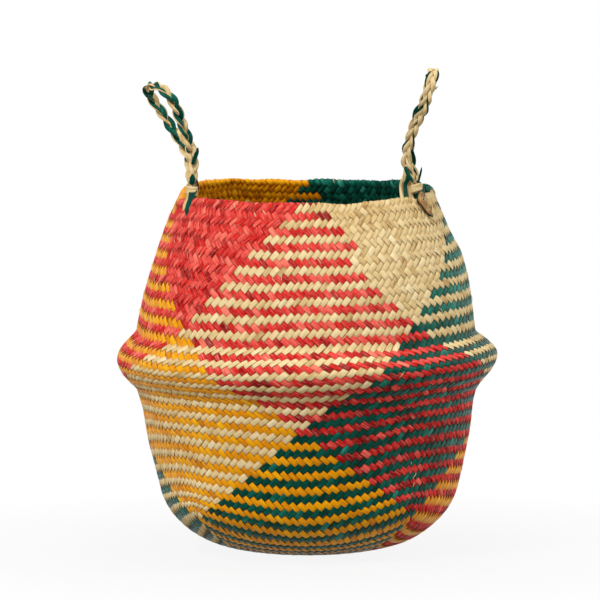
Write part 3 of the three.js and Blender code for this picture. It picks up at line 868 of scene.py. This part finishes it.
class Handle:
    def __init__(self, name, turn, height, spine):
        self.turn, self.top = math.radians(turn), height
        rise = height - STEM
        leg = [(LEG_OFFSET, 0), (LEG_OFFSET, STEM / 2), (LEG_OFFSET + LEG_SPREAD, STEM)]
        leg += [(s * LOOP_HALF_WIDTH, STEM + u * rise) for s, u in LOOP_SHAPE]
        self.plane = leg + [(0, height)] + [(-s, u) for s, u in leg[::-1]]
        joint = joints[f"{name}_handle_swing"]
        x, y, _ = joint["axis"]
        # Outwards, along the rim and up, seen from the pivot
        self.axes = np.array([[y, -x, 0], [x, y, 0], [0, 0, 1]])
        self.pivot = np.array(joint["pos_m"]) * 1000
        self.azimuth = math.degrees(math.atan2(y, x))
        spine_points = catmull(np.array(spine) * height, np.linspace(0, 1, SPINE_POINTS))
        self.spine_out, self.spine_up = spine_points.T

    def out_at(self, h):
        return np.interp(h, self.spine_up, self.spine_out)

    def side_at(self, h):
        turned = self.turn * smoothstep(h, WRAP_TOP, self.top / 2)
        return np.stack([-np.sin(turned), np.cos(turned), 0 * turned], -1)

    def line(self):
        """Points, directions across the plait's width and thickness, lengths and heights along it."""
        aside, up = catmull(self.plane, np.linspace(0, 1, 4 * LINE_POINTS)).T
        p = self.side_at(up) * (aside * grown(LEGS_DRAWN[0], up, *LEGS_DRAWN[1:]))[:, None]
        p = p + np.stack([self.out_at(up), 0 * up, up], -1)
        run = run_lengths(p)
        even = np.linspace(0, run[-1], LINE_POINTS)
        p = np.stack([np.interp(even, run, p[:, i]) for i in range(3)], -1)
        h = np.interp(even, run, up)
        t = unit(np.gradient(p, axis=0))
        lean = self.out_at(h + 0.5) - self.out_at(h - 0.5)
        face = np.cross(self.side_at(h), unit(np.stack([lean, 0 * lean, 1 + 0 * lean], -1)))
        face = unit(face - t * np.sum(face * t, -1, keepdims=True))
        return p, face, np.cross(t, face), even, h

    def world(self, p):
        return self.pivot + p @ self.axes


# A strip's rounded ends: the share of its width that they start with, and how full they are
END_SHARE = 0.12
END_FULLNESS = 0.6


def rolled(normal, across, angle):
    return normal * np.cos(angle)[:, None] + across * np.sin(angle)[:, None]


def ribbon_along(path, normal, half_width, half_thick, taper, crown):
    """A closed strip along a path, flat across a normal, and the lengths along it."""
    t = unit(np.gradient(path, axis=0))
    normal = unit(normal - t * np.sum(normal * t, -1, keepdims=True))
    wide = np.cross(t, normal)
    run = run_lengths(path)
    start = np.clip(run / taper[0], END_SHARE, 1) ** END_FULLNESS
    stop = np.clip((run[-1] - run) / taper[1], END_SHARE, 1) ** END_FULLNESS
    across = (half_width * np.minimum(start, stop))[:, None, None] * ACROSS[None, :, None]
    heights = (half_thick * HEIGHT - crown * ACROSS**2)[None, :, None]
    return path[:, None] + wide[:, None] * across + normal[:, None] * heights, run


# Each kind of strip: half thickness, tapers at its start and its end, and crown
PLAIT_SECTION = (0.45, (2.0, 2.0), 0.35)
CUT_SECTION = (0.3, (1.0, 3.0), 0)
WRAP_SECTION = (0.4, (2.0, 2.0), 0.3)
TAIL_SECTION = (0.4, (2.0, 5.0), 0.25)
# The plait: length of a turn, sway of its strands, how far they pass over one another, start and roll
PLAIT_PITCH = 36
SWAY = 2.6
PASS = 1.5
STRANDS = 3
FIRST_TURN = 1 / 12
ROLL = 0.5
# Slow changes along the plait's strands, and along each strip in them: size and rate
ROLL_DRIFT = (0.25, 0.08)
STRIP_ASIDE = (0.25, 0.12)
STRIP_RISE = (0.12, 0.2)
STRIP_WIDTH = (0.14, 0.15)
STRIP_ROLL = (0.25, 0.1)
STRIP_TONE_DRIFT = (0.3, 0.25)


def plait(handle, pattern, gen):
    """Three strands, each of flat strips laid over one another, in the handle's own directions."""
    p, face, thick, even, h = handle.line()
    turns = round(even[-1] / PLAIT_PITCH)
    drawn = grown(STRANDS_DRAWN[0], h, *STRANDS_DRAWN[1:])
    groups = {"natural": Ribbons(), "green": Ribbons()}
    for index, strips in enumerate(pattern):
        phase = 2 * math.pi * (turns * even / even[-1] + index / STRANDS + FIRST_TURN)
        sway, lift = drawn * SWAY * np.sin(phase), drawn * PASS * np.sin(2 * phase)
        centre = p + face * sway[:, None] + thick * lift[:, None]
        run = unit(np.gradient(centre, axis=0))
        flat = unit(thick - run * np.sum(thick * run, -1, keepdims=True))
        normal = rolled(flat, np.cross(run, flat), ROLL * np.cos(phase) + drift(even, gen, *ROLL_DRIFT))
        across = np.cross(run, normal)
        for colour, offset, half_width, height, tone, start, stop in strips:
            aside = drawn * (offset + drift(even, gen, *STRIP_ASIDE))
            above = height + drift(even, gen, *STRIP_RISE)
            path = centre + across * aside[:, None] + normal * above[:, None]
            width = drawn * half_width * (1 + drift(even, gen, *STRIP_WIDTH))
            tipped = rolled(normal, across, drift(even, gen, *STRIP_ROLL))
            keep = slice(int(start * len(path)), int(stop * len(path)), 3)
            pts, length = ribbon_along(path[keep], tipped[keep], width[keep], *PLAIT_SECTION)
            tones = np.clip(tone + drift(even, gen, *STRIP_TONE_DRIFT), 0, 1)[keep]
            add_on_top(groups[colour], handle.world(pts), length, tones, gen)
    return groups


# Cut ends: steps along them, and tone
CUT_STEPS = 12
CUT_TONE = 0.3


def loose_end(handle, ribbons, points, normal, half_width, gen):
    """A cut strip end that stands out of the plait."""
    path = catmull(points, steps(CUT_STEPS))
    pts, length = ribbon_along(path, np.broadcast_to(normal, path.shape), half_width, *CUT_SECTION)
    add_on_top(ribbons, handle.world(pts), length, CUT_TONE, gen)


# The wraps: points in a turn, how square it is, waves up and down, half width, tone, and slow changes
TURN_POINTS = 60
SQUARENESS = 0.8
WRAP_WAVE = (0.35, 1.3, 0.5)
WRAP_HALF_WIDTH = 1.25
WRAP_TONE = 0.55
WRAP_DRIFT = (0.25, 0.9)
WRAP_TONE_DRIFT = (0.25, 0.5)


def wrap(handle, centre, radii, turns, rise, slope, gen):
    """Turns of one strip round the foot of the stem."""
    angle = np.linspace(0, turns * 2 * math.pi, TURN_POINTS * turns)
    c, s = np.cos(angle), np.sin(angle)
    x = np.sign(c) * np.abs(c) ** SQUARENESS * radii[0]
    y = np.sign(s) * np.abs(s) ** SQUARENESS * radii[1]
    size, rate, start = WRAP_WAVE
    z = rise * (angle / angle[-1] - 0.5) + slope * x + size * np.sin(angle * rate + start)
    outward = unit(np.stack([x / radii[0] ** 2, y / radii[1] ** 2, 0 * x], -1))
    path = np.stack([x, y, z], -1) + centre + outward * drift(angle, gen, *WRAP_DRIFT)[:, None]
    pts, length = ribbon_along(path, outward, np.full(len(angle), WRAP_HALF_WIDTH), *WRAP_SECTION)
    ribbons = Ribbons()
    tone = np.clip(WRAP_TONE + drift(angle, gen, *WRAP_TONE_DRIFT), 0, 1)
    add_on_top(ribbons, handle.world(pts), length, tone, gen)
    return ribbons


# Tails: where below the crest they meet the wall, points on it, how they bend aside, steps and tone
TAIL_START = 3.5
TAIL_POINTS = 6
TAIL_BEND = 1.2
TAIL_STEPS = 44
TAIL_TONE_DRIFT = (0.2, 0.3)


def tail_strip(handle, ribbons, face, local, shift, length, height, half_width, twist, tone, gen):
    """A loose end from points in the stem, over the rim and along the wall's face or the hem's."""
    s = np.linspace(TAIL_START, length, TAIL_POINTS)
    sideways = shift[0] + (shift[1] - shift[0]) * (s / length) ** TAIL_BEND
    place, out = on_wall(handle.azimuth + np.degrees(sideways / RIM_RADIUS), CREST - face * s)
    rim_out = np.tile(handle.axes[0] * face, (len(local), 1)) + twist * handle.axes[1]
    points = np.concatenate([handle.world(np.array(local, float)), place + out * height])
    normals = np.concatenate([rim_out, out + twist * handle.axes[1]])
    t = steps(TAIL_STEPS)
    path, normal = catmull(points, t), catmull(normals, t)
    pts, run = ribbon_along(path, normal, np.full(len(t), half_width), *TAIL_SECTION)
    add_on_top(ribbons, pts, run, tone + drift(run, gen, *TAIL_TONE_DRIFT), gen)


# Each handle: its turn in degrees, its height, and its spine in shares of that height
HANDLES = {
    "left": (9, 86.5, [(0, 0), (-0.017, 0.164), (0.023, 0.363), (0.154, 0.62), (0.292, 0.866), (0.39, 1)]),
    "right": (29, 99, [
        (0, 0), (-0.08, 0.184), (-0.091, 0.316), (-0.046, 0.49), (0.061, 0.714), (0.127, 0.918), (0.147, 1),
    ]),
}
SEEDS = {"left": 7, "right": 8}
handles = {name: Handle(name, *shape) for name, shape in HANDLES.items()}
N = "natural"
G = "green"
# The strips of each strand: colour, offset, half width, height, tone, and where it starts and stops
PATTERNS = {
    "left": [
        [(N, 0.0, 2.1, -0.35, 0.35, 0, 1), (N, 0.3, 1.6, 0.3, 0.6, 0, 1)],
        [
            (N, -0.4, 2.1, 0, 0.6, 0, 1),
            (G, 0.2, 1.85, 0.5, 0.6, 0.14, 0.9),
            (G, 0.2, 1.85, -0.5, 0.5, 0.2, 0.93),
        ],
        [
            (N, 0.4, 2.1, 0, 0.5, 0, 1),
            (G, -0.2, 1.85, 0.5, 0.5, 0.2, 0.86),
            (G, -0.2, 1.85, -0.5, 0.6, 0.26, 0.9),
        ],
    ],
    "right": [
        [(N, 0.0, 2.0, -0.35, 0.45, 0, 1), (N, 0.3, 1.7, 0.3, 0.65, 0, 1)],
        [(G, -1.1, 1.6, -0.4, 0.1, 0.06, 0.95), (N, 0.2, 1.8, 0.25, 0.6, 0, 1)],
        [(G, 1.2, 1.6, -0.4, 0.1, 0.04, 0.97), (N, -0.25, 1.8, 0.25, 0.5, 0, 1)],
    ],
}
# Loose ends: points, normal, half width and colour
LOOSE_ENDS = {
    "left": [
        ([(1, 6.5, 20), (-0.5, 7, 24), (-2.5, 7, 29), (-4, 6.5, 34)], (0.3, 1, 0), 1.7, G),
        ([(1.5, 5.8, 3), (1.2, 6.4, 6), (1, 6.6, 9), (0.8, 6.4, 12)], (0.3, 1, 0), 2.3, G),
    ],
    "right": [
        ([(1.5, -2, 5), (2.8, -2, 9.5), (4, -2, 14), (5, -2, 18.5)], (0.5, -0.8, 0), 0.9, G),
        ([(-8, -7, 19), (-6, -7.4, 14.5), (-3.5, -7, 10), (-1.2, -6, 6)], (0.2, -1, 0), 1.6, G),
        ([(10, -2, 78), (13.5, -3, 82), (18, -3.5, 84), (21, -3.5, 86.5)], (0.5, -0.8, 0), 0.7, N),
    ],
}
# Centre, radii, turns, rise and slope
WRAPS = {
    "left": ((-1.2, 0, -2.2), (4.0, 5.6), 5, 7.6, 0.05),
    "right": ((-0.7, 0, 0.4), (4.1, 5.8), 4, 5.6, 0.2),
}
# Tails: face, points in the stem, sideways from and to, length, height, half width, twist, tone and colour
OUTER_STEM = [(-0.5, 0, 7), (1.4, 0, 3), (4.2, 0, -2)]
TAILS = {
    "left": [
        (1, [(-1.5, 1.5, 0), (-0.5, 2, -2.5), (2, 2.5, -5)], (3.0, 3.8), 14, 1.8, 2.3, 0.8, 0.3, N),
        (1, [(-1.5, 3.5, 0), (-0.5, 4.8, -2.5), (1.8, 7, -5)], (9.5, 14), 17.5, 2.2, 3.0, 1.2, 0.35, G),
        (-1, [(-2.5, -1, 15), (-4.5, -1, 8), (-5.5, -1, 0)], (-1.5, -3), 22, 1.5, 2.4, 0, 0.6, N),
        (-1, [(-2.5, 1.5, 13), (-4.7, 1.5, 7), (-5.8, 1.5, 0)], (2.5, 3.5), 20, 1.8, 2.2, 0, 0.5, G),
    ],
    "right": [
        (1, OUTER_STEM, (-3.5, 7.2), 19, 2.2, 3.7, -0.3, 0.1, G),
        (1, OUTER_STEM, (-4.5, 6), 18, 3.0, 2.8, -0.3, -0.5, N),
        (-1, [(-9, -1.5, 22), (-9.5, -3.5, 11), (-10, -9, 2)], (-16, -17), 26, 2.6, 3.6, 0.3, 0.65, N),
        (-1, [(-7, -2, 14), (-7.3, -4.7, 8), (-7.7, -7.8, 2)], (-13.5, -14.5), 24, 1.8, 2.4, 0.3, 0.5, G),
        (
            -1, [(-7.2, -1.5, 22), (-7.4, -1.6, 11), (-7.4, -3.6, 2)],
            (-7.5, -8.5), 22, 2.4, 4.4, 0.5, 0.75, N,
        ),
    ],
}
for name, handle in handles.items():
    body = f"{name}_handle"
    gen = np.random.default_rng(SEEDS[name])
    groups = plait(handle, PATTERNS[name], gen)
    for points, normal, half_width, colour in LOOSE_ENDS[name]:
        loose_end(handle, groups[colour], points, normal, half_width, gen)
    for colour, ribbons in groups.items():
        piece = ribbons.mesh(f"{name}_plait_{colour}", materials[colour])
        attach(piece, body)
        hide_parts(*[f"{name}_strand_{i}" for i in (1, 2, 3)])
    piece = wrap(handle, *WRAPS[name], gen).mesh(f"{name}_wrap", materials[N])
    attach(piece, body)
    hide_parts(f"{name}_binding")
    # The tails are baked in place and not attached to the handle.
    for face, face_name in ((1, "outer"), (-1, "inner")):
        for colour in (N, G):
            tails = Ribbons()
            for tail in TAILS[name]:
                if tail[0] == face and tail[-1] == colour:
                    tail_strip(handle, tails, *tail[:-1], gen)
            piece = tails.mesh(f"{name}_{face_name}_tail_{colour}", materials[colour])
            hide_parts(f"{name}_{face_name}_tail")
            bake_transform(piece)

# Studio: a white floor that keeps a faint shadow, a white world and two soft lamps
scene = bpy.context.scene
WHITE = (1, 1, 1, 1)
GREY = (0.35, 0.35, 0.35, 1)
FLOOR = 6.0
# The floor's share of white grows with the distance from the basket, in metres.
SPREAD = {"From Min": 0.15, "From Max": 0.4, "To Min": 0.9, "To Max": 1.0}
WORLD_STRENGTH = 0.58

floor_mesh = bpy.data.meshes.new("floor")
corners = [(x * FLOOR, y * FLOOR, 0) for x, y in ((-1, -1), (1, -1), (1, 1), (-1, 1))]
floor_mesh.from_pydata(corners, [], [(0, 1, 2, 3)])
floor = bpy.data.objects.new("floor", floor_mesh)
scene.collection.objects.link(floor)
floor_material = bpy.data.materials.new("floor")
n = Nodes(floor_material)
n.set(n.shader, **{"Base Color": GREY, "Roughness": 0.9})
glow = n.nodes.new("ShaderNodeEmission")
n.set(glow, Color=WHITE, Strength=1.0)
place = n.nodes.new("ShaderNodeTexCoord")
distance = n.nodes.new("ShaderNodeVectorMath")
distance.operation = "LENGTH"
n.links.new(place.outputs["Object"], distance.inputs[0])
spread = n.nodes.new("ShaderNodeMapRange")
n.set(spread, **SPREAD)
n.links.new(distance.outputs["Value"], spread.inputs["Value"])
share = n.maths("MULTIPLY", spread.outputs["Result"], n.seen_directly())
n.mix_shaders(share, n.shader, glow, "Material Output")
floor_mesh.materials.append(floor_material)

scene.world = bpy.data.worlds.new("studio")
n = Nodes(scene.world, "Background")
n.set(n.shader, Color=WHITE, Strength=WORLD_STRENGTH)
white = n.nodes.new("ShaderNodeBackground")
n.set(white, Color=WHITE, Strength=1.0)
n.mix_shaders(n.seen_directly(), n.shader, white, "World Output")


def lamp(name, place, target, size, power):
    light = bpy.data.lights.new(name, "AREA")
    light.shape = "DISK"
    light.size = size
    light.energy = power
    ob = bpy.data.objects.new(name, light)
    ob.location = place
    ob.rotation_euler = (Vector(target) - Vector(place)).to_track_quat("-Z", "Y").to_euler()
    scene.collection.objects.link(ob)


lamp("key", (-1.6, -2.3, 2.7), (0, 0, 0.2), 0.7, 98)
lamp("fill", (3.0, -0.3, 2.6), (0, 0, 0.2), 1.0, 55)

# Camera at the photograph's angle
AIM = Vector((-0.0061, 0, 0.211))
DISTANCE = 5.5
TILT = math.radians(5.9)
VIEW_WIDTH = 0.504
camera_data = bpy.data.cameras.new("camera")
camera_data.sensor_width = 36
camera_data.lens = camera_data.sensor_width * DISTANCE / VIEW_WIDTH
camera = bpy.data.objects.new("camera", camera_data)
camera.location = AIM + Vector((0, -math.cos(TILT), math.sin(TILT))) * DISTANCE
camera.rotation_euler = (math.pi / 2 - TILT, 0, 0)
scene.collection.objects.link(camera)
scene.camera = camera
scene.view_settings.view_transform = "Standard"

bpy.context.view_layer.update()
